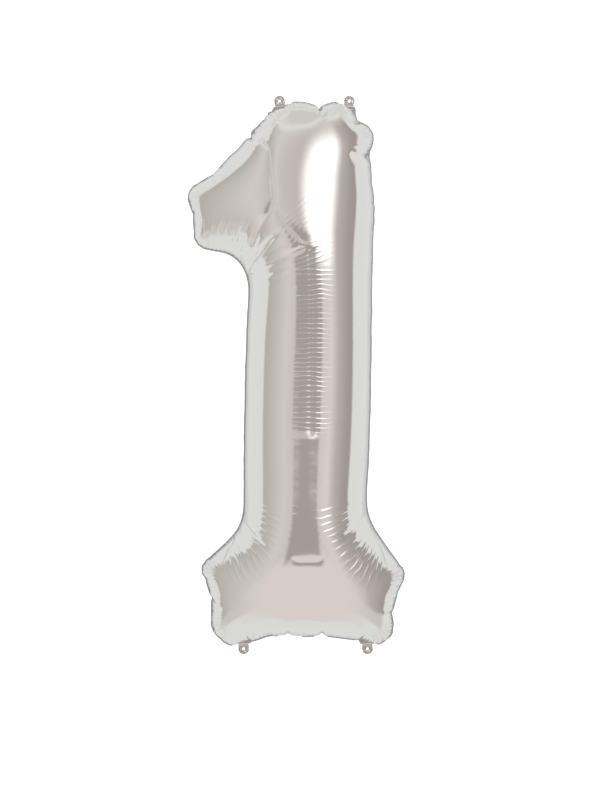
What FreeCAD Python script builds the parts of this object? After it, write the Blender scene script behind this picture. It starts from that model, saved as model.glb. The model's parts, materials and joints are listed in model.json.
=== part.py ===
import FreeCAD, Part
import math
import os
from FreeCAD import Vector, Placement, Rotation

# Foil number balloon, the digit one, inflated. Millimetres.
# Two sheets of metallised film are heat-sealed along one outline. Filled with gas, each sheet
# bulges out from the seal, which stays in the plane Y = 0. The front faces -Y, +Z is up.
# It is drawn with Z measured up from the foot's lower edge, and the finished pieces are then
# moved so that the origin is midway between the two upper hanging holes.

# ---- overall shape of the inflated body ----
body_height = 848.5        # from the foot's lower edge to the head's upper edge
body_depth = 206.0         # front to back
end_round = 115.0          # height over which the body rounds off to each straight edge
stem_width = 191.0         # across the upright
stem_lean = 1.4            # degrees that the upright leans to +X as it rises
stem_foot_x = -8.4         # where the upright's axis meets the level of the foot's edge

foot_width = 321.0         # across the serif at the bottom, where it is widest
foot_widest = 118.0        # height of that
foot_top = 222.0           # height where the serif has run into the upright
foot_edge_width = 258.0    # length of the foot's lower edge
foot_centre_x = -2.0

flag_reach = 184.5         # from X = 0 to the end of the digit's flag
flag_end = 112.0           # from the head's upper edge down to the upper corner of the flag's end
flag_underside = 103.0     # from there down to the middle of the flag's underside
flag_corner = 42.0         # half the height that the underside takes to run into the upright
head_edge_left = -60.0     # the two ends of the head's upper edge
head_edge_right = 78.0
head_corner = 46.0         # height of the head's rounded right corner

# ---- film, seal and tabs ----
film = 0.6                 # wall of each sheet; the real film is about 0.04
seal_width = 3.0           # flat heat-sealed border outside the body
seam_depth = 6.0           # front to back at the two straight edges

tab_round = 8.5            # radius of a tab's round end
tab_root_width = 16.0
tab_reach = 10.8           # from the body's edge to the hole's centre
tab_hole = 4.6             # diameter
tab_gap = 0.2              # between a tab's rounded root and the border that it folds on
top_tab_left_in = 18.5     # from the head edge's left end along to the tab's root
top_tab_right_in = 11.5
foot_tab_in = 30.7         # from each end of the foot's edge
top_tab_lean = 7.8         # degrees that a tab leans outwards
foot_tab_lean = 3.0        # degrees that both lower tabs lean to +X

# ---- self-sealing valve, inside against the back sheet ----
valve_width = 30.0
valve_length = 130.0
valve_film = 0.4
valve_gap = 0.4            # between each two films
valve_tail = 26.0          # how far it goes on below the filling hole
inlet_height = 42.0        # height of the filling hole above the foot's edge
inlet_hole = 8.0           # diameter
inlet_x = -5.0

arch_spans = 10            # spans of the curve that one cross-section is drawn with
end_sections = 6           # cross-sections in each rounded end
middle_sections = 18       # cross-sections between the rounded ends
valve_sections = 8


def stem_axis(z):
    """X of the upright's axis at height z."""
    return stem_foot_x + z * math.tan(math.radians(stem_lean))


def ease(z, stops):
    """Runs smoothly through (height, x) stops, level at each of them."""
    for (low, start), (high, end) in zip(stops, stops[1:]):
        if z < high:
            t = max(z - low, 0) / (high - low)
            return start + (end - start) * t * t * (3 - 2 * t)
    return stops[-1][1]


def left_side(z):
    """X of the body's left outline at height z: foot, upright, flag and head."""
    upright = stem_axis(z) - stem_width / 2
    flag_z = body_height - flag_end
    underside_z = flag_z - flag_underside
    return ease(z, [
        (0, foot_centre_x - foot_edge_width / 2),
        (foot_widest, foot_centre_x - foot_width / 2),
        (foot_top, upright),
        (underside_z - flag_corner, upright),
        (underside_z + flag_corner, -flag_reach),
        (flag_z, -flag_reach),
        (body_height, head_edge_left),
    ])


def right_side(z):
    """X of the body's right outline at height z."""
    upright = stem_axis(z) + stem_width / 2
    return ease(z, [
        (0, foot_centre_x + foot_edge_width / 2),
        (foot_widest, foot_centre_x + foot_width / 2),
        (foot_top, upright),
        (body_height - head_corner, upright),
        (body_height, head_edge_right),
    ])


def slant(side, z):
    """How much wider a wall of constant thickness measures along X where the outline slopes."""
    step = 1.0
    return math.hypot(1, (side(z + step) - side(z - step)) / (2 * step))


def depth_at(z, inset):
    """Half depth of the body at height z, drawn in by inset: flat, with a quarter-ellipse at each end."""
    to_edge = min(z, body_height - z)
    if to_edge >= end_round:
        return body_depth / 2 - inset
    share = min((end_round - to_edge) / (end_round - inset), 1)
    return (body_depth / 2 - inset) * math.sqrt(1 - share * share)


def arch(z, inset, low_y, clip=None):
    """Half of the oval cross-section at height z, from the left to the right, ending at Y = -low_y.

    clip, two values of X, keeps only the stretch between them.
    """
    left = left_side(z) + inset * slant(left_side, z)
    right = right_side(z) - inset * slant(right_side, z)
    centre = (left + right) / 2
    half_width = (right - left) / 2
    half_depth = max(depth_at(z, inset), (seam_depth / 2 if inset <= 0 else film / 2))
    start = math.asin(low_y / half_depth)
    end = math.pi - start
    if clip:
        start = math.acos((centre - clip[0]) / half_width)
        end = math.acos((centre - clip[1]) / half_width)
    shares = [k / arch_spans for k in range(arch_spans + 1)]
    turns = [start + (end - start) * share for share in shares]
    points = [Vector(centre - half_width * math.cos(t), -half_depth * math.sin(t), z) for t in turns]
    curve = Part.BSplineCurve()
    curve.interpolate(Points=points, Parameters=shares)
    return curve.toShape(), points[0], points[-1]


def line(start, end):
    return Part.LineSegment(start, end).toShape()


def panel_section(z):
    """The front sheet cut at height z: a sealed border, the arch over the gas, a sealed border."""
    outer, outer_start, outer_end = arch(z, 0, film)
    inner, inner_start, inner_end = arch(z, film, 0)
    far_left = left_side(z) - seal_width * slant(left_side, z)
    far_right = right_side(z) + seal_width * slant(right_side, z)
    left_back, left_front = Vector(far_left, 0, z), Vector(far_left, -film, z)
    right_back, right_front = Vector(far_right, 0, z), Vector(far_right, -film, z)
    return Part.Wire([
        line(left_back, left_front),
        line(left_front, outer_start),
        outer,
        line(outer_end, right_front),
        line(right_front, right_back),
        line(right_back, inner_end),
        inner,
        line(inner_start, left_back),
    ])


def panel_heights():
    """Heights of the cross-sections: close together in the rounded ends, even between them."""
    first = math.asin(seam_depth / body_depth)
    turns = [first + (math.pi / 2 - first) * k / end_sections for k in range(end_sections + 1)]
    lower = [end_round * (1 - math.cos(t)) for t in turns]
    lower[0] = 0.0
    middle_height = body_height - 2 * end_round
    middle = [end_round + middle_height * k / (middle_sections + 1) for k in range(1, middle_sections + 1)]
    upper = [body_height - z for z in reversed(lower)]
    return lower + middle + upper


def edge_border(low, at):
    """The sealed border beyond one straight edge, notched for the tabs; it closes the arch's end."""
    left = left_side(at) - seal_width
    right = right_side(at) + seal_width
    border = Part.makeBox(right - left, film, seal_width, Vector(left, -film, low))
    for _, root_x, edge_z, lean in tab_list():
        border = border.cut(tab_room(tab_placement(root_x, edge_z, lean)))
    return border


def front_bulge():
    """The bulged front sheet with the border along its two long sides, open at the straight edges."""
    return Part.makeLoft([panel_section(z) for z in panel_heights()], True, False)


def edge_borders():
    """The two straight borders, which meet the bulge face to face."""
    return [edge_border(-seal_width, 0.0), edge_border(body_height, body_height)]


def valve_strip(near, far):
    """One film of the valve: a strip that follows the front sheet between two depths under it."""
    sides = (inlet_x - valve_width / 2, inlet_x + valve_width / 2)
    wires = []
    for k in range(valve_sections + 1):
        z = inlet_height - valve_tail + valve_length * k / valve_sections
        outer, outer_start, outer_end = arch(z, near, 0, sides)
        inner, inner_start, inner_end = arch(z, far, 0, sides)
        wires.append(Part.Wire([outer, line(outer_end, inner_end), inner, line(inner_start, outer_start)]))
    return Part.makeLoft(wires, True, False)


def inlet():
    """The filling hole's middle on the back sheet and the direction that points out of it."""
    def surface_y(x, z):
        centre = (left_side(z) + right_side(z)) / 2
        half_width = (right_side(z) - left_side(z)) / 2
        return depth_at(z, 0) * math.sqrt(1 - ((x - centre) / half_width) ** 2)

    step = 0.5
    across = (surface_y(inlet_x + step, inlet_height) - surface_y(inlet_x - step, inlet_height)) / (2 * step)
    upward = (surface_y(inlet_x, inlet_height + step) - surface_y(inlet_x, inlet_height - step)) / (2 * step)
    out = Vector(-across, 1, -upward)
    return Vector(inlet_x, surface_y(inlet_x, inlet_height), inlet_height), out.normalize()


def tab_list():
    """Each tab's name, the X of its root, which edge it is on, and its turn from upright."""
    foot_left = left_side(0) + foot_tab_in
    foot_right = right_side(0) - foot_tab_in
    return [
        ("hanging_tab_top_left", head_edge_left + top_tab_left_in, body_height, top_tab_lean),
        ("hanging_tab_top_right", head_edge_right - top_tab_right_in, body_height, -top_tab_lean),
        ("hanging_tab_bottom_left", foot_left, 0.0, 180 + foot_tab_lean),
        ("hanging_tab_bottom_right", foot_right, 0.0, 180 + foot_tab_lean),
    ]


def tab_placement(root_x, edge_z, lean):
    """Puts a tab drawn with its hinge line on X and its tip at +Z on the balloon's edge."""
    turn = Rotation(Vector(0, 1, 0), -lean)
    out = turn.multVec(Vector(0, 0, 1))
    return Placement(Vector(root_x, 0, edge_z) + out * seal_width, turn)


def tab(place):
    """A flat tab of both sheets sealed together, with a rounded root and a punched hole."""
    half_root = tab_root_width / 2
    hole_up = tab_reach - seal_width
    corner = [Vector(-half_root, 0, 0), Vector(-tab_round, 0, hole_up),
              Vector(tab_round, 0, hole_up), Vector(half_root, 0, 0)]
    tip = Vector(0, 0, hole_up + tab_round)
    outline = Part.Wire([
        Part.LineSegment(corner[0], corner[1]).toShape(),
        Part.Arc(corner[1], tip, corner[2]).toShape(),
        Part.LineSegment(corner[2], corner[3]).toShape(),
        Part.LineSegment(corner[3], corner[0]).toShape(),
    ])
    plate = Part.Face(outline).extrude(Vector(0, 2 * film, 0))
    plate.translate(Vector(0, -film, 0))
    root = Part.makeCylinder(film, tab_root_width, corner[0], Vector(1, 0, 0))
    hole = Part.makeCylinder(tab_hole / 2, 4 * film, Vector(0, -2 * film, hole_up), Vector(0, 1, 0))
    shape = plate.fuse(root).removeSplitter().cut(hole)
    shape.Placement = place
    return shape


def tab_room(place):
    """The space in the border that a tab's root turns in."""
    half_room = tab_root_width / 2 + tab_gap
    radius = film + tab_gap
    reach = tab_reach + 2 * tab_round
    around = Part.makeCylinder(radius, 2 * half_room, Vector(-half_room, 0, 0), Vector(1, 0, 0))
    beyond = Part.makeBox(2 * half_room, 2 * radius, reach, Vector(-half_room, -radius, 0))
    shape = around.fuse(beyond)
    shape.Placement = place
    return shape


def to_back(shape):
    """The mirror image of a front piece, behind the plane of the seal."""
    return shape.mirror(Vector(0, 0, 0), Vector(0, 1, 0))


def main():
    bulge = front_bulge()
    borders = edge_borders()
    inlet_point, inlet_out = inlet()
    drill_reach = 4 * (film + valve_gap + valve_film)
    drill = Part.makeCylinder(inlet_hole / 2, 2 * drill_reach, inlet_point - inlet_out * drill_reach, inlet_out)
    under_back = film + valve_gap
    under_valve = under_back + valve_film + valve_gap
    nodes = {
        "front_panel": Part.makeCompound([bulge] + borders),
        "back_panel": Part.makeCompound([to_back(bulge).cut(drill)] + [to_back(b) for b in borders]),
        "valve_back_film": to_back(valve_strip(under_back, under_back + valve_film)).cut(drill),
        "valve_front_film": to_back(valve_strip(under_valve, under_valve + valve_film)),
    }
    hinges = {}
    holes = {}
    for name, root_x, edge_z, lean in tab_list():
        place = tab_placement(root_x, edge_z, lean)
        nodes[name] = tab(place)
        hinges[name] = (place.Base, place.Rotation.multVec(Vector(1, 0, 0)))
        holes[name] = place.multVec(Vector(0, 0, tab_reach - seal_width))

    origin = (holes["hanging_tab_top_left"] + holes["hanging_tab_top_right"]) / 2
    os.makedirs("parts", exist_ok=True)
    for name, shape in nodes.items():
        shape.translate(-origin)
        shape.exportStep("parts/" + name + ".step")
        print(name, "solids", len(shape.Solids), "valid", shape.isValid(), "volume", round(shape.Volume))
    for name, (point, axis) in hinges.items():
        print(name, "hinge", point - origin, "axis", axis, "hole", holes[name] - origin)
    print("inlet", inlet_point - origin, "out", inlet_out)


main()
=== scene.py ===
import json
import math

import bmesh
import bpy
import numpy as np
from mathutils import Matrix, Vector
from mathutils.bvhtree import BVHTree
from mathutils.geometry import delaunay_2d_cdt
from mathutils.kdtree import KDTree
from mathutils.noise import noise


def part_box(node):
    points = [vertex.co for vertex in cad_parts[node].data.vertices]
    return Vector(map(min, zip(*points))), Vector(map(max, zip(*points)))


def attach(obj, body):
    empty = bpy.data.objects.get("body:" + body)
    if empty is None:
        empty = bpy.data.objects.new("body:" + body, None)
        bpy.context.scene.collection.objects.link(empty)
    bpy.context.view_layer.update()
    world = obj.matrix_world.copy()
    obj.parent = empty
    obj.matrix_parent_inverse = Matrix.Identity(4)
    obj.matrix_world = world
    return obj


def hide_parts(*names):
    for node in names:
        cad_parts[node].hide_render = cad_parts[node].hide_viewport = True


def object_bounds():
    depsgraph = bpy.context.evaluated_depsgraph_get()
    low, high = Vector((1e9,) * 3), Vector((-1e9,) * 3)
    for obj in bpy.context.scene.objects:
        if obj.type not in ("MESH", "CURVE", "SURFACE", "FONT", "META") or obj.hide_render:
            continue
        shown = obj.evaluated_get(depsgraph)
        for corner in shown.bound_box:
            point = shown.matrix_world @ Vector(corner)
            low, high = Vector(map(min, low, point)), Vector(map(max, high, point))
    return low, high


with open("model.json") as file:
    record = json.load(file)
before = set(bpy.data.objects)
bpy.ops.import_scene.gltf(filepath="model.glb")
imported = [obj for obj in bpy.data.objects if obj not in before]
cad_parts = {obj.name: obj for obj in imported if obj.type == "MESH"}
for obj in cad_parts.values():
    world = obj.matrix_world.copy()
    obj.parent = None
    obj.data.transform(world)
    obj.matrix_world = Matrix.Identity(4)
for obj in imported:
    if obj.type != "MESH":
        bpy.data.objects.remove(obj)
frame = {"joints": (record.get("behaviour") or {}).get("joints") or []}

# A foil number balloon, the digit one. Two sheets of metallised film are cut to one flat pattern,
# sealed round the edge and blown up: the film can't stretch, so its edge gathers into puckers.
# Metres, in the frame of the CAD model: the origin is midway between the two upper tab holes.

cad_low, cad_high = [Vector(corner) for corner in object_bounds()]
panel_low, panel_high = [Vector(corner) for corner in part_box("front_panel")]

MM = 0.001
SEAL = 3.0 * MM                 # width of the heat-sealed border in the CAD model
SEAL_SEEN = 2.2 * MM            # what is left of it from in front, as it curls
FILM = 0.2 * MM                 # film thickness as drawn, the real film is about 0.03
INLET = (-17.5 * MM, -817.2 * MM)    # filling hole in the back sheet, x and z
INLET_RADIUS = 4 * MM
BORDER_TO_FOLD = 0.3 * MM       # what the border leaves free below a tab's fold line
FLAG_REACH = 184.5 * MM         # from the pattern's middle line to the flag's end, inflated
foot_z = panel_low.z + SEAL
middle_x = panel_low.x + SEAL + FLAG_REACH

# ---------------------------------------------------------------- the flat pattern
# Corners of the cut sheet in millimetres: x from the middle line, z from the foot's edge of the
# inflated body, and the radius that the corner is rounded to.
PATTERN = [
    (-158, -28, 55), (-196, 106, 40), (-150, 193, 80), (-146, 592, 70), (-214, 649, 40),
    (-214, 745, 45), (-101, 852, 60), (-62, 880, 60), (-10, 897, 150), (90, 884, 60), (143, 823, 60),
    (156, 694, 300), (149, 210, 90), (192, 100, 45), (153, -31, 55), (0, -36, 300),
]
# Where the sealed edge folds in first as the gas goes in, as x and z on the same scale.
PUCKERS = [
    (-214, 697), (-101, 850), (-32, 893), (10, 897), (50, 891), (101, 872), (147, 785), (-194, 112),
    (-190, 84), (-181, 52), (-162, -10), (188, 115), (187, 83), (176, 44), (159, -8),
]

# The film within about this of each place starts out drawn in towards the digit's middle.
PUCKER_REACH = 9 * MM
PUCKER_PULL = 5                 # millimetres
PUCKER_WHOLE = 0.1              # metres of pull, all places added up, from which it is the whole PUCKER_PULL
HEAD_FROM = 300                 # above this height it is drawn to the head's middle, below it to the foot's
HEAD_MIDDLE = 700 * MM
FOOT_MIDDLE = 430 * MM

# The fold line of each hanging tab, which is its hinge: the line's middle as x and z, and which way the
# tab points, as an angle from straight up, clockwise.
TABS = {}
for hinge in frame["joints"]:
    hinge_x, _, hinge_z = hinge["pos_m"]
    TABS[hinge["child"]] = (hinge_x, hinge_z, math.atan2(-hinge["axis"][2], hinge["axis"][0]))

ARC_STEPS = 16                  # in each rounded corner
CLEAR_OF_EDGE = 0.62            # of the spacing, between the outline and the first points inside it


def rounded_loop(corners, spacing):
    """The pattern's outline with its corners rounded by arcs, as evenly spaced points."""
    path = []
    count = len(corners)
    for k, (x, z, radius) in enumerate(corners):
        here = np.array([x, z], float)
        back = np.array(corners[k - 1][:2], float) - here
        ahead = np.array(corners[(k + 1) % count][:2], float) - here
        back_length, ahead_length = np.linalg.norm(back), np.linalg.norm(ahead)
        back /= back_length
        ahead /= ahead_length
        half = math.acos(max(-1.0, min(1.0, float(back @ ahead)))) / 2
        cut = min(radius / math.tan(half), 0.49 * back_length, 0.49 * ahead_length)
        middle = (back + ahead) / np.linalg.norm(back + ahead)
        centre = here + middle * cut / math.cos(half)
        start = here + back * cut - centre
        sweep = math.pi - 2 * half
        turn = 1 if back[0] * ahead[1] - back[1] * ahead[0] < 0 else -1
        for step in range(ARC_STEPS + 1):
            angle = turn * sweep * step / ARC_STEPS
            c, s = math.cos(angle), math.sin(angle)
            path.append(centre + [c * start[0] - s * start[1], s * start[0] + c * start[1]])
    path = np.array(path) * MM
    gaps = np.linalg.norm(np.roll(path, -1, 0) - path, axis=1)
    along = np.concatenate([[0], np.cumsum(gaps)])
    places = np.linspace(0, along[-1], int(round(along[-1] / spacing)), endpoint=False)
    closed = np.concatenate([path, path[:1]])
    return np.stack([np.interp(places, along, closed[:, axis]) for axis in (0, 1)], 1)


def edge_gap(points, loop):
    """Distance of each point from the outline, negative outside it."""
    gap = np.full(len(points), np.inf)
    inside = np.zeros(len(points), bool)
    for start, end in zip(loop, np.roll(loop, -1, 0)):
        run = end - start
        share = np.clip((points - start) @ run / (run @ run), 0, 1)
        gap = np.minimum(gap, np.linalg.norm(points - start - share[:, None] * run, axis=1))
        if start[1] != end[1]:
            crosses = (start[1] > points[:, 1]) != (end[1] > points[:, 1])
            inside ^= crosses & (points[:, 0] < run[0] * (points[:, 1] - start[1]) / run[1] + start[0])
    return np.where(inside, gap, -gap)


def flat_triangles(spacing):
    """The cut sheet as an even triangle mesh: its points, its triangles and which points are on the edge.

    The solver needs triangles of one size, which no mesh operator gives inside an outline of its own.
    """
    loop = rounded_loop(PATTERN, spacing)
    low, high = loop.min(0), loop.max(0)
    rows = np.arange(low[1], high[1], spacing * math.sqrt(3) / 2)
    columns = np.arange(low[0] - spacing, high[0] + spacing, spacing)
    lattice = np.array([(x + spacing / 2 * (k % 2), z) for k, z in enumerate(rows) for x in columns])
    lattice = lattice[edge_gap(lattice, loop) > CLEAR_OF_EDGE * spacing]
    points = [Vector(point) for point in np.concatenate([loop, lattice])]
    rim = [(k, (k + 1) % len(loop)) for k in range(len(loop))]
    found, _, triangles, *_ = delaunay_2d_cdt(points, rim, [], 1, 1e-7)
    found = np.array([tuple(point) for point in found])
    return found, np.array(triangles), np.abs(edge_gap(found, loop)) < 1e-6


# ---------------------------------------------------------------- blowing it up
START_GAP = 2 * MM              # each sheet from the middle plane before the gas goes in
START_WOBBLE = 0.6 * MM
SHAKE = 0.15 * MM               # what each finer mesh is shaken by, so that it doesn't buckle evenly
RAMP_STEPS = 30                 # steps in which the gas comes up to its pressure
EASE_FROM = 0.4                 # share of the steps after which the pressure falls to its last value
KEPT_SPEED = 0.96               # share of its speed that a point keeps from step to step
BEND_STIFFNESS = 0.02           # how far a step flattens the film
SEAM_STIFFNESS = 0.25           # how far a step straightens the sealed edge, which bends badly in its plane
SEAM_EVENED = 30 * MM ** 2      # rounds of evening the edge at the end, times the mesh's spacing squared


def summed(places, starts, ends):
    """For each point, the sum of the points that the pairs join it to."""
    total = np.zeros_like(places)
    for axis in range(3):
        total[:, axis] = (np.bincount(starts, places[ends, axis], len(places))
                          + np.bincount(ends, places[starts, axis], len(places)))
    return total


class Envelope:
    """Both sheets as one mesh: the same flat pattern twice, joined at the edge."""

    def __init__(self, spacing, seed):
        flat, triangles, rim = flat_triangles(spacing)
        random = np.random.default_rng(seed)
        count = len(flat)
        inner = np.where(~rim)[0]
        twin = np.arange(count)
        twin[inner] = count + np.arange(len(inner))
        front_gap = START_GAP + random.uniform(0, START_WOBBLE, count)
        back_gap = START_GAP + random.uniform(0, START_WOBBLE, len(inner))
        turn = np.cross(flat[triangles[:, 1]] - flat[triangles[:, 0]],
                        flat[triangles[:, 2]] - flat[triangles[:, 0]]) < 0
        triangles[turn] = triangles[turn][:, ::-1]
        pull = np.zeros_like(flat)
        for x, z in PUCKERS:
            away = flat - np.array([x, z]) * MM
            reach = np.exp(-(away ** 2).sum(1) / PUCKER_REACH ** 2)[:, None]
            pull += reach * (np.array([0, HEAD_MIDDLE if z >= HEAD_FROM else FOOT_MIDDLE]) - flat)
        size = np.maximum(np.linalg.norm(pull, axis=1, keepdims=True), 1e-9)
        folded = flat + pull / size * np.minimum(size / PUCKER_WHOLE, 1) * PUCKER_PULL * MM
        front = np.stack([flat[:, 0], -front_gap * ~rim, flat[:, 1]], 1)
        front[:, [0, 2]] = folded
        back = np.stack([folded[inner, 0], back_gap, folded[inner, 1]], 1)
        self.spacing = spacing
        self.random = random
        self.place = np.concatenate([front, back])
        self.flat = np.concatenate([flat, flat[inner]])
        self.faces = np.concatenate([triangles, twin[triangles][:, ::-1]])
        self.front_faces = len(triangles)
        self.rim = np.concatenate([rim, np.zeros(len(inner), bool)])
        self.find_edges()

    def find_edges(self):
        """Lists each edge once with its flat length, in groups that share no point."""
        pairs = np.sort(np.concatenate([self.faces[:, pick] for pick in ([0, 1], [1, 2], [2, 0])]), 1)
        self.edges = np.unique(pairs, axis=0)
        length = np.linalg.norm(self.flat[self.edges[:, 0]] - self.flat[self.edges[:, 1]], axis=1)
        busy = [0] * len(self.place)
        colour = np.zeros(len(self.edges), int)
        for k in self.random.permutation(len(self.edges)):
            a, b = self.edges[k]
            taken = busy[a] | busy[b]
            free = 0
            while taken >> free & 1:
                free += 1
            busy[a] |= 1 << free
            busy[b] |= 1 << free
            colour[k] = free
        self.groups = [(self.edges[colour == c, 0], self.edges[colour == c, 1], length[colour == c])
                       for c in range(colour.max() + 1)]
        self.neighbours = np.bincount(self.edges.ravel(), minlength=len(self.place))[:, None]
        sides = np.sort(np.concatenate([self.faces[:self.front_faces][:, pick]
                                        for pick in ([0, 1], [1, 2], [2, 0])]), 1)
        sides, uses = np.unique(sides, axis=0, return_counts=True)
        self.seam = sides[uses == 1]

    def refine(self):
        """Splits every triangle into four, keeping the shape."""
        count = len(self.place)
        key = {tuple(edge): count + k for k, edge in enumerate(self.edges.tolist())}
        halfway = [np.array([key[(min(a, b), max(a, b))] for a, b in self.faces[:, pick].tolist()])
                   for pick in ([0, 1], [1, 2], [2, 0])]
        a, b, c = self.faces.T
        ab, bc, ca = halfway
        quarters = [(a, ab, ca), (ab, b, bc), (ca, bc, c), (ab, bc, ca)]
        split = np.stack([np.stack(quarter, 1) for quarter in quarters], 1)
        rim_pair = self.rim[self.edges[:, 0]] & self.rim[self.edges[:, 1]]
        uses = np.zeros(len(self.edges), int)
        for middle in halfway:
            np.add.at(uses, middle[:self.front_faces] - count, 1)
        self.faces = split.reshape(-1, 3)
        self.front_faces *= 4
        for name in ("place", "flat"):
            values = getattr(self, name)
            middles = (values[self.edges[:, 0]] + values[self.edges[:, 1]]) / 2
            setattr(self, name, np.concatenate([values, middles]))
        self.rim = np.concatenate([self.rim, rim_pair & (uses == 1)])
        self.spacing /= 2
        self.find_edges()

    def push_out(self):
        """Each point's share of the film's area, along its normal."""
        corner = self.place[self.faces]
        normal = np.cross(corner[:, 1] - corner[:, 0], corner[:, 2] - corner[:, 0]) / 6
        total = np.zeros_like(self.place)
        for k in range(3):
            for axis in range(3):
                total[:, axis] += np.bincount(self.faces[:, k], normal[:, axis], len(total))
        return total / (self.spacing ** 2 * math.sqrt(3) / 2)

    def even_seam(self, rounds):
        """Takes the smallest waves out of the sealed edge and out of the film beside it."""
        start, end = self.edges.T
        beside = np.zeros(len(self.place), bool)
        for _ in range(4):
            grown = beside | self.rim
            beside[start[grown[end]]] = True
            beside[end[grown[start]]] = True
        beside &= ~self.rim
        for _ in range(rounds):
            seam = summed(self.place, *self.seam.T)
            around = summed(self.place, start, end)
            self.place[self.rim] += 0.5 * (seam[self.rim] / 2 - self.place[self.rim])
            self.place[beside] += 0.35 * (around / self.neighbours - self.place)[beside]

    def push_out_direction(self):
        """The way out of the envelope at each point, as unit vectors."""
        push = self.push_out()
        return push / np.linalg.norm(push, axis=1, keepdims=True)

    def blow_up(self, steps, sweeps, pressure, last_share):
        """Gas pushes the film out along its normals while every edge keeps its flat length.

        pressure is how far a step pushes the film, and last_share what is left of it at the end. In each
        step the edges are set to their lengths sweeps times over.
        """
        speed = np.zeros_like(self.place)
        start, end = self.edges.T
        for step in range(steps):
            late = max(0.0, (step / steps - EASE_FROM) / (1 - EASE_FROM))
            push = pressure * min(1, (step + 1) / RAMP_STEPS) * (1 - late * (1 - last_share))
            moved = self.place + speed + self.push_out() * push
            around = summed(moved, start, end)
            moved += BEND_STIFFNESS * (around / self.neighbours - moved) * ~self.rim[:, None]
            beside = summed(moved, *self.seam.T)
            moved[self.rim] += SEAM_STIFFNESS * (beside[self.rim] / 2 - moved[self.rim])
            for _ in range(sweeps):
                for a, b, length in self.groups:
                    run = moved[b] - moved[a]
                    now = np.sqrt(np.einsum("ij,ij->i", run, run))
                    run *= ((now - length) / now / 2)[:, None]
                    moved[a] += run
                    moved[b] -= run
            speed = (moved - self.place) * KEPT_SPEED
            self.place = moved


def inflated(spacing=12 * MM, seed=3):
    """The envelope blown up coarsely, then twice more on a mesh twice as fine."""
    film = Envelope(spacing, seed)
    film.blow_up(steps=220, sweeps=12, pressure=0.36 * MM, last_share=0.25)
    film.refine()
    film.place[~film.rim, 1] += film.random.normal(0, SHAKE, int((~film.rim).sum()))
    film.blow_up(steps=90, sweeps=14, pressure=0.12 * MM, last_share=0.3)
    film.refine()
    film.blow_up(steps=40, sweeps=12, pressure=0.05 * MM, last_share=0.3)
    film.place += [middle_x, 0, foot_z]
    film.even_seam(int(round(SEAM_EVENED / film.spacing ** 2)))
    crease(film)
    meet_tabs(film)
    return film


# The edge within this of a tab's root is what has to meet the tab, and film further off follows less.
ROOT_HALF = 9 * MM
ROOT_DEEP = 40 * MM
FOLLOWS = (8 * MM, 50 * MM)
# The bulge beside a root stays below a slope from the fold line: how steep it is, how far it goes
# towards the viewer or away, where it starts, and where beside the root and from it that ends.
SLOPE = 0.3
SLOPE_DEEP = 18 * MM
SLOPE_BELOW_FOLD = 1.3 * MM
SLOPE_SIDE = (17 * MM, 10.5 * MM)
SLOPE_REACH = (34 * MM, 26 * MM)


def meet_tabs(film):
    """Eases the edge at each tab so that its sealed border ends on the line where the tab folds."""
    for root_x, root_z, lean in TABS.values():
        out = np.array([math.sin(lean), 0, math.cos(lean)])
        sideways = np.array([math.cos(lean), 0, -math.sin(lean)])
        root = np.array([root_x, 0, root_z]) - out * SEAL
        rim = film.place[film.rim]
        beside = np.abs((rim - root) @ sideways) < ROOT_HALF
        close = rim[beside & (np.abs((rim - root) @ out) < ROOT_DEEP)]
        shift = -np.mean((close - root) @ out)
        away = np.linalg.norm(film.place - root, axis=1)
        film.place += out * (shift * (1 - fade(away, *FOLLOWS)))[:, None]
        # Room for the tab to fold either way without meeting the bulge beside its root.
        away = film.place - [root_x, 0, root_z]
        depth = np.abs(film.place[:, 1])
        past = np.maximum(away @ out - (SLOPE * np.minimum(depth, SLOPE_DEEP) - SLOPE_BELOW_FOLD), 0)
        near = fade(np.abs(away @ sideways), *SLOPE_SIDE) * fade(np.linalg.norm(away, axis=1), *SLOPE_REACH)
        film.place -= out * (past * near)[:, None]


# ---------------------------------------------------------------- creases and fine wrinkles
# Valleys that the gas leaves in the front sheet: the points of each, its depth, and the widths of its
# two walls, the left one first.
FLAG_CREASE = [(-92, 815), (-66, 796), (-57, 775), (-55, 745), (-51, 700), (-56, 680), (-76, 645), (-90, 600)]
CREASES = [
    ([(6, 622), (9, 560), (8, 325)], 1.8, 4, 20),
    (FLAG_CREASE, 3.0, 6, 6),
    ([(-84, 582), (-42, 603), (4, 622)], 2.6, 5, 5),
    ([(-53, 688), (-28, 655), (4, 622)], 1.5, 7, 7),
    ([(112, 771), (66, 767)], 4.0, 8, 8),
    ([(88, 840), (72, 808)], 3.5, 6, 6),
    ([(24, 858), (21, 834)], 2.0, 4, 4),
    ([(-24, 142), (-14, 134), (18, 134), (28, 142)], 0.6, 4, 4),
]
# Ladders of fine cross-wrinkles: the spine's points, the pitch, the reach to its left and to its
# right, and how deep they are beside the fans.
LADDERS = [
    ([(-62, 686), (-5, 622), (8, 590), (8, 325)], 7.6, 27, 18, 0.12),
]
# How far down the spine some of its wrinkles run right across the upright, how much longer they are
# than the rest, and over what length of the spine.
LONG_WRINKLES = [35, 62, 95, 128, 165, 272, 290, 352, 368]
LONGER_BY = 22
LONG_OVER = 6
# Fans of wrinkles round the inner corners: the centre, the inner and outer radius, the first and last
# direction in degrees, and the angle from one wrinkle to the next.
FANS = [
    ((-170, 234), 72, 168, -68, -4, 4.6),
    ((168, 230), 72, 168, 184, 248, 4.6),
    ((-142, 560), 40, 120, 22, 100, 6.5),
]
FAN_DEPTH = 0.5
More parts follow.
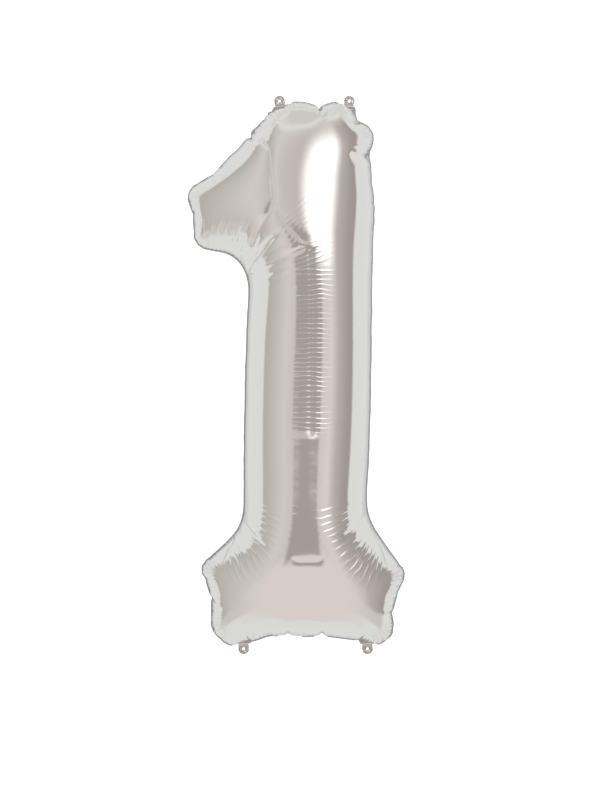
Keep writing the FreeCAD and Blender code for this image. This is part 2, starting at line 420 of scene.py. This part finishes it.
# Short wrinkles along the sealed edge: their pitch, how deep they are along straight edges, and how
# much deeper above and below the heights between which the edge is curved.
EDGE_PITCH = 6.6
EDGE_DEPTH = 0.12
EDGE_DEEPER = 0.75
EDGE_HEAD = (770, 840)
EDGE_FOOT = (190, 120)


def nearest_on(path, points):
    """Distance of each point from a path, on its left positive, and how far along the path it is."""
    gap = np.full(len(points), np.inf)
    side = np.ones(len(points))
    along = np.zeros(len(points))
    passed = 0.0
    for start, end in zip(np.array(path[:-1], float), np.array(path[1:], float)):
        run = end - start
        length = np.linalg.norm(run)
        share = np.clip((points - start) @ run / length ** 2, 0, 1)
        away = points - start - share[:, None] * run
        distance = np.linalg.norm(away, axis=1)
        closer = distance < gap
        gap[closer] = distance[closer]
        side[closer] = np.sign(run[0] * away[closer, 1] - run[1] * away[closer, 0])
        along[closer] = passed + share[closer] * length
        passed += length
    return gap * side, along, passed


def fade(value, start, end):
    """0 at start and 1 at end, level at both."""
    share = np.clip((value - start) / (end - start), 0, 1)
    return share * share * (3 - 2 * share)


def own_millimetres(places):
    """Places in the pattern's own terms: millimetres from the middle line and from the foot's edge."""
    return (places[:, [0, 2]] - [middle_x, foot_z]) / MM


def crease(film):
    """Presses the valleys into the front sheet, each fading out at its ends."""
    front = np.unique(film.faces[:film.front_faces])
    front = front[~film.rim[front]]
    points = own_millimetres(film.place[front])
    depth = np.zeros(len(front))
    for path, deep, left, right in CREASES:
        gap, along, length = nearest_on(path, points)
        ends = fade(along, -1, 12) * fade(length - along, -1, 12)
        wall = np.where(gap > 0, left, right)
        depth = np.maximum(depth, deep * ends * np.exp(-np.abs(gap) / wall))
    film.place[front] -= film.push_out_direction()[front] * depth[:, None] * MM


def wrinkles(film, chosen):
    """How deep the fine wrinkles are at each chosen point, from 0 to 1, and where in their rhythm it is.

    Distances are millimetres: those in each fade say where the wrinkles start and where they are whole.
    """
    flat = film.flat[chosen] / MM
    outline = rounded_loop(PATTERN, 12 * MM) / MM
    gap, along, length = nearest_on(np.concatenate([outline, outline[:1]]).tolist(), flat)
    gap = np.abs(gap)
    curved = np.maximum(fade(flat[:, 1], *EDGE_HEAD), fade(flat[:, 1], *EDGE_FOOT))
    depth = ((EDGE_DEPTH + EDGE_DEEPER * curved) * fade(gap, 8, 16) * fade(gap, 46, 24)
             * fade(along, 0, 20) * fade(length - along, 0, 20))
    rhythm = along / EDGE_PITCH
    points = own_millimetres(film.place[chosen])
    for path, pitch, left, right, share in LADDERS:
        gap, along, length = nearest_on(path, points)
        reach = np.where(gap > 0, left, right)
        for place in LONG_WRINKLES:
            reach = reach + LONGER_BY * np.exp(-((along - place) / LONG_OVER) ** 2)
        strong = share * np.exp(-(gap / reach) ** 2) * fade(along, 0, 10) * fade(length - along, 0, 15)
        use = strong > depth
        depth[use] = strong[use]
        rhythm[use] = along[use] / pitch
    for centre, inner, outer, first, last, pitch in FANS:
        away = points - np.array(centre, float)
        radius = np.linalg.norm(away, axis=1)
        angle = np.degrees(np.arctan2(away[:, 1], away[:, 0]))
        angle = np.where(angle < first - 60, angle + 360, angle)
        strong = (fade(radius, inner, inner + 25) * FAN_DEPTH * fade(radius, outer, outer - 45)
                  * fade(angle, first - 4, first + 8) * fade(angle, last + 4, last - 8))
        use = strong > depth
        depth[use] = strong[use]
        rhythm[use] = angle[use] / pitch
    return depth, rhythm


# ---------------------------------------------------------------- small helpers
def linear(hex_code):
    """An sRGB hex colour as the linear RGBA that the shaders take."""
    channels = [int(hex_code[k:k + 2], 16) / 255 for k in (0, 2, 4)]
    return tuple(c / 12.92 if c <= 0.04045 else ((c + 0.055) / 1.055) ** 2.4 for c in channels) + (1.0,)


def add(tree, kind, settings=None, **links):
    """Adds a node with its settings, input values and links, given as socket_name=value or socket."""
    node = tree.nodes.new(kind)
    for name, value in (settings or {}).items():
        setattr(node, name, value)
    for name, value in links.items():
        socket = node.inputs[int(name[1:])] if name[1:].isdigit() else node.inputs[name.replace("_", " ")]
        if isinstance(value, bpy.types.NodeSocket):
            tree.links.new(value, socket)
        else:
            socket.default_value = value
    return node


def new_object(name, mesh, body):
    """A piece of the balloon that rides on a body."""
    piece = bpy.data.objects.new(name, mesh)
    bpy.context.scene.collection.objects.link(piece)
    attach(piece, body)
    return piece


# ---------------------------------------------------------------- materials
def metallised_film(name, hex_code, roughness, crinkle_mm, crinkle_height):
    """Vacuum-metallised nylon film, heat-sealed: a mirror that is nowhere quite flat.

    The eye gets long soft reflections, broken by the fine crazing that handling leaves in the metal.
    """
    material = bpy.data.materials.new(name)
    material.use_nodes = True
    tree = material.node_tree
    shader = tree.nodes["Principled BSDF"]
    shader.inputs["Base Color"].default_value = linear(hex_code)
    shader.inputs["Metallic"].default_value = 1.0
    place = add(tree, "ShaderNodeTexCoord").outputs["Object"]
    craze = add(tree, "ShaderNodeTexNoise", {"noise_type": "FBM"}, Vector=place,
                Scale=1 / (crinkle_mm * MM), Detail=3.0, Roughness=0.6)
    bump = add(tree, "ShaderNodeBump", Height=craze.outputs["Fac"], Strength=0.6,
               Distance=crinkle_height * MM)
    depth = add(tree, "ShaderNodeAttribute", {"attribute_name": "wrinkle_depth"}).outputs["Fac"]
    rhythm = add(tree, "ShaderNodeAttribute", {"attribute_name": "wrinkle_rhythm"}).outputs["Fac"]
    stray = add(tree, "ShaderNodeTexNoise", Vector=place, Scale=1 / (40 * MM), Detail=1.0).outputs["Fac"]
    shifted = add(tree, "ShaderNodeMath", {"operation": "MULTIPLY_ADD"}, _0=stray, _1=1.6, _2=rhythm)
    turn = add(tree, "ShaderNodeMath", {"operation": "MULTIPLY"}, _0=shifted.outputs[0], _1=2 * math.pi)
    swell = add(tree, "ShaderNodeMath", {"operation": "SINE"}, _0=turn.outputs[0])
    fold = add(tree, "ShaderNodeMath", {"operation": "ABSOLUTE"}, _0=swell.outputs[0])
    wave = add(tree, "ShaderNodeMath", {"operation": "ADD"}, _0=swell.outputs[0], _1=fold.outputs[0])
    patchy = add(tree, "ShaderNodeTexNoise", Vector=place, Scale=1 / (30 * MM), Detail=1.0).outputs["Fac"]
    keen = add(tree, "ShaderNodeMapRange", Value=patchy, _1=0.35, _2=0.65, _3=0.6, _4=1.0)
    deep = add(tree, "ShaderNodeMath", {"operation": "MULTIPLY"}, _0=depth, _1=keen.outputs["Result"])
    ripple = add(tree, "ShaderNodeMath", {"operation": "MULTIPLY"}, _0=wave.outputs[0], _1=deep.outputs[0])
    ladder = add(tree, "ShaderNodeBump", Height=ripple.outputs[0], Strength=1.0, Distance=0.45 * MM,
                 Normal=bump.outputs["Normal"])
    tree.links.new(ladder.outputs["Normal"], shader.inputs["Normal"])
    cloud = add(tree, "ShaderNodeTexNoise", Vector=place, Scale=1 / (55 * MM), Detail=2.0)
    haze = add(tree, "ShaderNodeMapRange", Value=cloud.outputs["Fac"], _3=roughness * 0.8, _4=roughness * 1.3)
    tree.links.new(haze.outputs["Result"], shader.inputs["Roughness"])
    return material


def valve_polyethylene():
    """Blown polyethylene film: milky, slightly see-through and waxy, as a freezer bag is."""
    material = bpy.data.materials.new("milky_polyethylene_film")
    material.use_nodes = True
    tree = material.node_tree
    shader = tree.nodes["Principled BSDF"]
    shader.inputs["IOR"].default_value = 1.51
    shader.inputs["Transmission Weight"].default_value = 0.35
    place = add(tree, "ShaderNodeTexCoord").outputs["Object"]
    streaks = add(tree, "ShaderNodeTexNoise", Vector=place, Scale=1 / (9 * MM), Detail=3.0)
    tone = add(tree, "ShaderNodeMix", {"data_type": "RGBA"}, Factor=streaks.outputs["Fac"])
    tone.inputs["A"].default_value = linear("D9D9D2")
    tone.inputs["B"].default_value = linear("C4C5BF")
    tree.links.new(tone.outputs["Result"], shader.inputs["Base Color"])
    sheen = add(tree, "ShaderNodeMapRange", Value=streaks.outputs["Fac"], _3=0.28, _4=0.42)
    tree.links.new(sheen.outputs["Result"], shader.inputs["Roughness"])
    return material


# ---------------------------------------------------------------- the two sheets
BORDER_MATERIAL = 1             # slot of the pressed film on each sheet, whose slot 0 is the foil
BORDER_EVENED = 12              # rounds


def border_directions(edges, points):
    """Which way the sealed border grows from each point of the edge, evened out along the edge."""
    out = {vert: Vector() for vert in points}
    for edge in edges:
        run = edge.verts[1].co - edge.verts[0].co
        side = Vector((run.z, 0, -run.x))
        middle = (edge.verts[0].co + edge.verts[1].co) / 2
        if side.dot(edge.link_faces[0].calc_center_median() - middle) > 0:
            side = -side
        for vert in edge.verts:
            out[vert] += side
    for _ in range(BORDER_EVENED):
        even = {vert: out[vert].copy() for vert in out}
        for edge in edges:
            even[edge.verts[0]] += out[edge.verts[1]]
            even[edge.verts[1]] += out[edge.verts[0]]
        out = {vert: value / 3 for vert, value in even.items()}
    return out


def grow_border(bm, edges, out):
    """The sealed border, a flat strip outside the sharp edge of the bulge."""
    for edge in edges:
        edge.smooth = False
    grown = bmesh.ops.extrude_edge_only(bm, edges=edges)["geom"]
    for face in [item for item in grown if isinstance(item, bmesh.types.BMFace)]:
        face.material_index = BORDER_MATERIAL
    for vert in [item for item in grown if isinstance(item, bmesh.types.BMVert)]:
        for edge in vert.link_edges:
            source = edge.other_vert(vert)
            if source in out:
                vert.co = reach_fold(source.co + out[source].normalized() * SEAL_SEEN)


def thicken(bm):
    """Makes the film as thick as FILM, outwards, and closes its edges."""
    bm.normal_update()
    inner = {vert: vert.co.copy() for vert in bm.verts}
    outward = {vert: vert.normal.copy() for vert in bm.verts}
    edges = [edge for edge in bm.edges if edge.is_boundary]
    skin = list(bm.faces)
    layer = {vert: bm.verts.new(inner[vert]) for vert in list(inner)}
    for vert, place in inner.items():
        vert.co = place + outward[vert] * FILM
    for face in skin:
        bm.faces.new([layer[vert] for vert in reversed(face.verts)]).material_index = face.material_index
    for edge in edges:
        loop = edge.link_loops[0]
        a, b = loop.vert, loop.link_loop_next.vert
        bm.faces.new((b, a, layer[a], layer[b])).material_index = BORDER_MATERIAL
    bmesh.ops.recalc_face_normals(bm, faces=bm.faces)


def mark_wrinkles(mesh, film, used):
    """Stores on each point what the foil's material needs to draw the fine wrinkles."""
    depth, rhythm = wrinkles(film, used)
    tree = KDTree(len(used))
    for k, place in enumerate(film.place[used]):
        tree.insert(place, k)
    tree.balance()
    source = [tree.find(vert.co)[1] for vert in mesh.vertices]
    mesh.attributes.new("wrinkle_depth", "FLOAT", "POINT").data.foreach_set("value", depth[source])
    mesh.attributes.new("wrinkle_rhythm", "FLOAT", "POINT").data.foreach_set("value", rhythm[source])


def sheet_panel(name, film, faces, hole=None):
    """One sheet of the envelope with the sealed border round it, as thick as the film."""
    used, renumbered = np.unique(faces, return_inverse=True)
    mesh = bpy.data.meshes.new(name)
    mesh.from_pydata(film.place[used].tolist(), [], renumbered.reshape(-1, 3).tolist())
    bm = bmesh.new()
    bm.from_mesh(mesh)
    if hole is not None:
        punch(bm, hole, INLET_RADIUS)
    border = {vert for edge in bm.edges if edge.is_boundary for vert in edge.verts}
    if hole is not None:
        border = {vert for vert in border if (vert.co - hole).length > 2 * INLET_RADIUS}
    rim = [edge for edge in bm.edges if edge.is_boundary and edge.verts[0] in border]
    grow_border(bm, rim, border_directions(rim, border))
    thicken(bm)
    bm.to_mesh(mesh)
    bm.free()
    mesh.polygons.foreach_set("use_smooth", np.ones(len(mesh.polygons), bool))
    mark_wrinkles(mesh, film, used)
    return new_object(name, mesh, "envelope")


def reach_fold(place):
    """Moves a point of the sealed border's edge onto the fold line of a tab that is beside it."""
    for root_x, root_z, lean in TABS.values():
        out = Vector((math.sin(lean), 0, math.cos(lean)))
        away = place - Vector((root_x, 0, root_z))
        across = abs(away.dot(Vector((math.cos(lean), 0, -math.sin(lean)))))
        if away.length < 30 * MM:
            share = float(fade(across, 14 * MM, 10.5 * MM))
            place = place - out * share * (away.dot(out) + BORDER_TO_FOLD) - Vector((0, share * place.y, 0))
    return place


def punch(bm, hole, radius):
    """Cuts a round hole: finer triangles there, then those inside go and the edge is set to the circle."""
    for _ in range(2):
        near = {edge for face in bm.faces if (face.calc_center_median() - hole).length < 2.2 * radius
                for edge in face.edges}
        bmesh.ops.subdivide_edges(bm, edges=list(near), cuts=1)
        bmesh.ops.triangulate(bm, faces=[face for face in bm.faces if len(face.verts) > 3])
    inside = [face for face in bm.faces if (face.calc_center_median() - hole).length < radius]
    bmesh.ops.delete(bm, geom=inside, context="FACES")
    for edge in bm.edges:
        if edge.is_boundary and (edge.verts[0].co - hole).length < 2 * radius:
            for vert in edge.verts:
                vert.co = hole + (vert.co - hole).normalized() * radius


def two_sheets(film, foil, sealed):
    """Front and back sheet, the back one with the filling hole."""
    front = sheet_panel("front_sheet", film, film.faces[:film.front_faces])
    back_faces = film.faces[film.front_faces:]
    back_points = np.unique(back_faces)
    from_inlet = film.place[back_points][:, [0, 2]] - INLET
    nearest = back_points[np.argmin(np.linalg.norm(from_inlet, axis=1))]
    back = sheet_panel("back_sheet", film, back_faces, Vector(film.place[nearest]))
    for piece, node in ((front, "front_panel"), (back, "back_panel")):
        piece.data.materials.append(foil)
        piece.data.materials.append(sealed)
        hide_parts(node)


# ---------------------------------------------------------------- tabs and valve
TAB_HOLE = 2.3 * MM             # radius
TAB_ROUND = 8.5 * MM            # radius of the rounded end, and half the width at the fold
TAB_TAPER = 0.064               # how much narrower each side gets towards the rounded end
HOLE_FROM_FOLD = 7.8 * MM
TAB_FROM_FOLD = 0.15 * MM
TAB_FILM = 0.25 * MM            # both sheets welded together
CRUSH_SIZE = 2.6 * MM
CRUSH_HEIGHT = 0.5 * MM
ROLL_HEIGHT = -0.9 * MM         # the curl at the root, towards the front
ROLL_PLACE = 1.7 * MM
ROLL_WIDTH = 0.9 * MM
TAB_RINGS = 8
TAB_AROUND = 64
STRIP_ROWS = 48
STRIP_COLUMNS = 12
STRIP_FILM = 0.15 * MM
STRIP_TO_SHEET = 0.3 * MM


def tab_piece(name, foil):
    """A hanging tab: both sheets welded flat past the seal, with a punched hole and a crushed surface."""
    root_x, root_z, lean = TABS[name]
    bm = bmesh.new()
    grid = []
    for ring in range(TAB_RINGS + 1):
        row = []
        for k in range(TAB_AROUND):
            angle = 2 * math.pi * (k + 0.5 * (ring % 2)) / TAB_AROUND
            du, dv = math.sin(angle), math.cos(angle)
            edge = TAB_ROUND
            if dv < 0:
                edge = min(TAB_ROUND / (abs(du) - TAB_TAPER * dv), (HOLE_FROM_FOLD - TAB_FROM_FOLD) / -dv)
            reach = TAB_HOLE + (edge - TAB_HOLE) * ring / TAB_RINGS
            u, v = reach * du, HOLE_FROM_FOLD + reach * dv
            free = float(fade(v, 0.5 * MM, 4 * MM)) * (0.4 if ring in (0, TAB_RINGS) else 1)
            crush = noise(Vector((u, v, root_x * 7)) / CRUSH_SIZE) * CRUSH_HEIGHT * free
            roll = ROLL_HEIGHT * math.exp(-((v - ROLL_PLACE) / ROLL_WIDTH) ** 2)
            x = root_x + u * math.cos(lean) + v * math.sin(lean)
            z = root_z - u * math.sin(lean) + v * math.cos(lean)
            row.append(bm.verts.new((x, crush + roll, z)))
        grid.append(row)
    for ring, (inner, outer) in enumerate(zip(grid, grid[1:])):
        for k in range(TAB_AROUND):
            ahead = (k + 1) % TAB_AROUND
            a, b, c, d = inner[k], inner[ahead], outer[k], outer[ahead]
            pairs = ((a, b, d), (a, d, c)) if ring % 2 else ((a, b, c), (b, d, c))
            for corners in pairs:
                bm.faces.new(corners)
    bmesh.ops.recalc_face_normals(bm, faces=bm.faces)
    bmesh.ops.solidify(bm, geom=list(bm.faces), thickness=TAB_FILM)
    bmesh.ops.recalc_face_normals(bm, faces=bm.faces)
    mesh = bpy.data.meshes.new(name)
    bm.to_mesh(mesh)
    bm.free()
    mesh.materials.append(foil)
    piece = new_object("foil_" + name, mesh, name)
    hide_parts("hanging_" + name)


def valve_strip(node, film, depth, polyethylene):
    """One of the valve's two strips, lying along the inside of the back sheet, depth further in."""
    low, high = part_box(node)
    places = [Vector(place) for place in film.place]
    surface = BVHTree.FromPolygons(places, film.faces[film.front_faces:].tolist())
    bm = bmesh.new()
    rows = []
    for row in range(STRIP_ROWS):
        z = low[2] + (high[2] - low[2]) * row / (STRIP_ROWS - 1)
        line = []
        for column in range(STRIP_COLUMNS):
            x = low[0] + (high[0] - low[0]) * column / (STRIP_COLUMNS - 1)
            # From well behind the balloon, straight forwards onto the back sheet.
            place, normal, _, _ = surface.ray_cast(Vector((x, 1, z)), Vector((0, -1, 0)))
            if place is None:
                break
            line.append(place - normal * (STRIP_TO_SHEET + depth) * (1 if normal.y > 0 else -1))
        if len(line) == STRIP_COLUMNS:
            rows.append([bm.verts.new(place) for place in line])
    for near, far in zip(rows, rows[1:]):
        for k in range(STRIP_COLUMNS - 1):
            bm.faces.new((near[k], near[k + 1], far[k + 1], far[k]))
    for _ in range(3):
        bmesh.ops.smooth_vert(bm, verts=[v for v in bm.verts if not v.is_boundary], factor=0.5,
                              use_axis_x=False, use_axis_y=True, use_axis_z=False)
    bmesh.ops.solidify(bm, geom=list(bm.faces), thickness=STRIP_FILM)
    bmesh.ops.recalc_face_normals(bm, faces=bm.faces)
    mesh = bpy.data.meshes.new(node + "_strip")
    bm.to_mesh(mesh)
    bm.free()
    mesh.shade_smooth()
    mesh.materials.append(polyethylene)
    piece = new_object(node + "_strip", mesh, "envelope")
    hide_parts(node)


# ---------------------------------------------------------------- studio
FLOOR_BELOW = 1.05              # the balloon hangs this far above the floor
EYE_LEFT = 0.0095               # the camera from the pattern's middle line
EYE_AWAY = 3.53
EYE_HEIGHT = 0.3845             # above the foot's edge


def white_room(scene):
    """What the film mirrors, by direction: a white room with a table, a tripod and a tall softbox."""
    world = bpy.data.worlds.new("white_studio")
    scene.world = world
    world.use_nodes = True
    tree = world.node_tree
    tree.nodes.clear()
    direction = add(tree, "ShaderNodeTexCoord").outputs["Generated"]
    parts = add(tree, "ShaderNodeSeparateXYZ", Vector=direction)
    toward = add(tree, "ShaderNodeMath", {"operation": "MULTIPLY"}, _0=parts.outputs["Y"], _1=-1.0)
    azimuth = add(tree, "ShaderNodeMath", {"operation": "ARCTAN2"}, _0=parts.outputs["X"],
                  _1=toward.outputs[0]).outputs[0]
    height = add(tree, "ShaderNodeMath", {"operation": "ARCSINE"}, _0=parts.outputs["Z"]).outputs[0]

    def between(value, low, high, soft):
        """1 where an angle in degrees lies between two others, with soft sides."""
        sides = []
        for start, end in ((low - soft, low + soft), (high + soft, high - soft)):
            sides.append(add(tree, "ShaderNodeMapRange", {"interpolation_type": "SMOOTHSTEP"}, Value=value,
                             _1=math.radians(start), _2=math.radians(end)).outputs["Result"])
        return add(tree, "ShaderNodeMath", {"operation": "MULTIPLY"}, _0=sides[0], _1=sides[1]).outputs[0]

    def over(base, mask, colour):
        """A colour laid over what is there, as far as the mask says."""
        mixed = add(tree, "ShaderNodeMix", {"data_type": "RGBA"}, Factor=mask)
        tree.links.new(base, mixed.inputs["A"])
        mixed.inputs["B"].default_value = colour
        return mixed.outputs["Result"]

    def both(one, two):
        """Where two masks meet."""
        return add(tree, "ShaderNodeMath", {"operation": "MULTIPLY"}, _0=one, _1=two).outputs[0]

    # The room in front, by direction from the left (-90) to the right (+90) of the camera.
    sweep = add(tree, "ShaderNodeMapRange", Value=azimuth, _1=-math.pi / 2, _2=math.pi / 2)
    room = add(tree, "ShaderNodeValToRGB", Fac=sweep.outputs["Result"])
    stops = [(-90, "AEABA4"), (-64, "C0BBB7"), (-45, "CDC8C4"), (-25, "C6BFBB"), (0, "BDB5B2"),
             (30, "CDC5C2"), (42, "D4CCC9"), (58, "B4ACA9"), (76, "A29A97"), (90, "9C9390")]
    while len(room.color_ramp.elements) < len(stops):
        room.color_ramp.elements.new(0.5)
    for stop, (angle, colour) in zip(room.color_ramp.elements, stops):
        stop.position = (angle + 90) / 180
        stop.color = linear(colour)
    # The floor in front, its pale middle starting higher, where a table stands.
    tone = over(room.outputs["Color"], between(height, -95, -30, 3), linear("C9C2BE"))
    tone = over(tone, between(height, -95, -48, 4), linear("D8D8D6"))
    tone = over(tone, both(between(azimuth, -46, 46, 13), between(height, -84, -13, 2)), linear("D6CDCA"))
    # The tripod and whoever stands at it, dark below the lens.
    tone = over(tone, both(between(azimuth, -26, 22, 3), between(height, -17, 1.5, 0.7)), linear("A29A97"))
    tone = over(tone, both(between(azimuth, -15, 7, 4), between(height, -17, 4, 2)), linear("A29A97"))
    # The tall softbox to the right, sharper at its foot than at its top.
    tall = both(between(height, 4.5, 90, 3), between(height, -90, 44, 14))
    tone = over(tone, both(between(azimuth, 10, 46, 12), tall), (1.5, 1.47, 1.45, 1))
    # White paper behind, greyer where it is furthest off, and a plain ceiling.
    for start, end, paper in ((-0.02, 0.05, "D8D8D6"), (0.7, 0.95, "BCBEC1")):
        behind = add(tree, "ShaderNodeMapRange", {"interpolation_type": "SMOOTHSTEP"},
                     Value=parts.outputs["Y"], _1=start, _2=end)
        tone = over(tone, behind.outputs["Result"], linear(paper))
    tone = over(tone, between(height, 58, 95, 8), linear("CAC7C3"))
    tone = over(tone, between(height, 63, 70, 3), linear("DAD8D5"))
    seen = add(tree, "ShaderNodeLightPath")
    tone = over(tone, seen.outputs["Is Camera Ray"], (1, 1, 1, 1))
    # The strength makes up for the tenth or two that the film takes, so these are the tones on the film.
    light = add(tree, "ShaderNodeBackground", Color=tone, Strength=1.27)
    add(tree, "ShaderNodeOutputWorld", Surface=light.outputs["Background"])


def softbox_lamp(scene):
    """The lamp that lights the floor. The film doesn't mirror it, as the room above has its own softbox."""
    softbox = bpy.data.lights.new("softbox", "AREA")
    softbox.shape = "RECTANGLE"
    softbox.size = 0.9
    softbox.size_y = 1.6
    softbox.energy = 40
    lamp = bpy.data.objects.new("softbox", softbox)
    lamp.location = (0.9, -2.0, foot_z + 2.0)
    aim = Vector((0, 0, foot_z + 0.5)) - lamp.location
    lamp.rotation_euler = aim.to_track_quat("-Z", "Y").to_euler()
    lamp.visible_glossy = False
    scene.collection.objects.link(lamp)


def paper_floor(scene):
    """A wide disc of matt white paper, whose edge and shadow the film doesn't mirror."""
    floor_mesh = bpy.data.meshes.new("floor")
    bm = bmesh.new()
    bmesh.ops.create_circle(bm, cap_ends=True, segments=96, radius=2.0,
                            matrix=Matrix.Translation((0, 0, cad_low.z - FLOOR_BELOW)))
    bm.to_mesh(floor_mesh)
    bm.free()
    floor = bpy.data.objects.new("floor", floor_mesh)
    scene.collection.objects.link(floor)
    white = bpy.data.materials.new("matt_white_floor")
    white.use_nodes = True
    shader = white.node_tree.nodes["Principled BSDF"]
    shader.inputs["Base Color"].default_value = linear("F2ECEA")
    shader.inputs["Roughness"].default_value = 0.9
    floor_mesh.materials.append(white)
    floor.visible_glossy = False


def level_camera(scene):
    """A level camera straight in front, at about half the digit's height."""
    camera = bpy.data.cameras.new("camera")
    camera.lens = 100
    eye = bpy.data.objects.new("camera", camera)
    eye.location = (middle_x - EYE_LEFT, -EYE_AWAY, foot_z + EYE_HEIGHT)
    eye.rotation_euler = (math.pi / 2, 0, 0)
    scene.collection.objects.link(eye)
    scene.camera = eye


foil = metallised_film("metallised_nylon_film", "E6E6E4", 0.09, 3.0, 0.03)
film = inflated()
two_sheets(film, foil, metallised_film("heat_sealed_film", "C2C5C9", 0.3, 1.6, 0.05))
tab_foil = metallised_film("crushed_metallised_film", "C6C5C3", 0.18, 1.1, 0.10)
for tab_name in TABS:
    tab_piece(tab_name, tab_foil)
polyethylene = valve_polyethylene()
valve_strip("valve_back_film", film, 0.5 * MM, polyethylene)
valve_strip("valve_front_film", film, 1.1 * MM, polyethylene)

scene = bpy.context.scene
scene.view_settings.view_transform = "Standard"
white_room(scene)
softbox_lamp(scene)
paper_floor(scene)
level_camera(scene)
